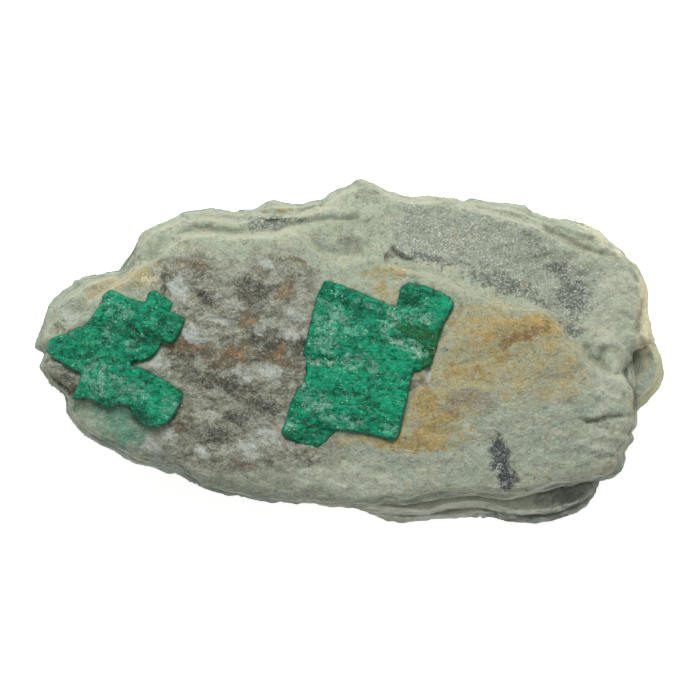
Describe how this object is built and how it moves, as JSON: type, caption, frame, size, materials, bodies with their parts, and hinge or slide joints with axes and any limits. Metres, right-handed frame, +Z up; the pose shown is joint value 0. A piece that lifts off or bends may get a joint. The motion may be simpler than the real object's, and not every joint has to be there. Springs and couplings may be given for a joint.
{
  "type": "emerald crystals in schist matrix",
  "caption": "Hand specimen: a hand-sized slab of foliated grey-green schist, flat underneath, with groups of green hexagonal-prism crystals set in its upper face",
  "frame": {"origin": "centre of the underside's box, on the resting plane", "axes": "+X along the slab towards its lower block, +Y across it, +Z up out of the face that holds the crystals"},
  "size_m": [0.0787, 0.0427, 0.0245],
  "materials": {
    "schist": "matte, foliated, with mica glints",
    "emerald": "vitreous, translucent, striated and included"
  },
  "bodies": {
    "root": {"schist_matrix": "schist", "emerald_left_group": "emerald", "emerald_right_group": "emerald"}
  },
  "joints": []
}
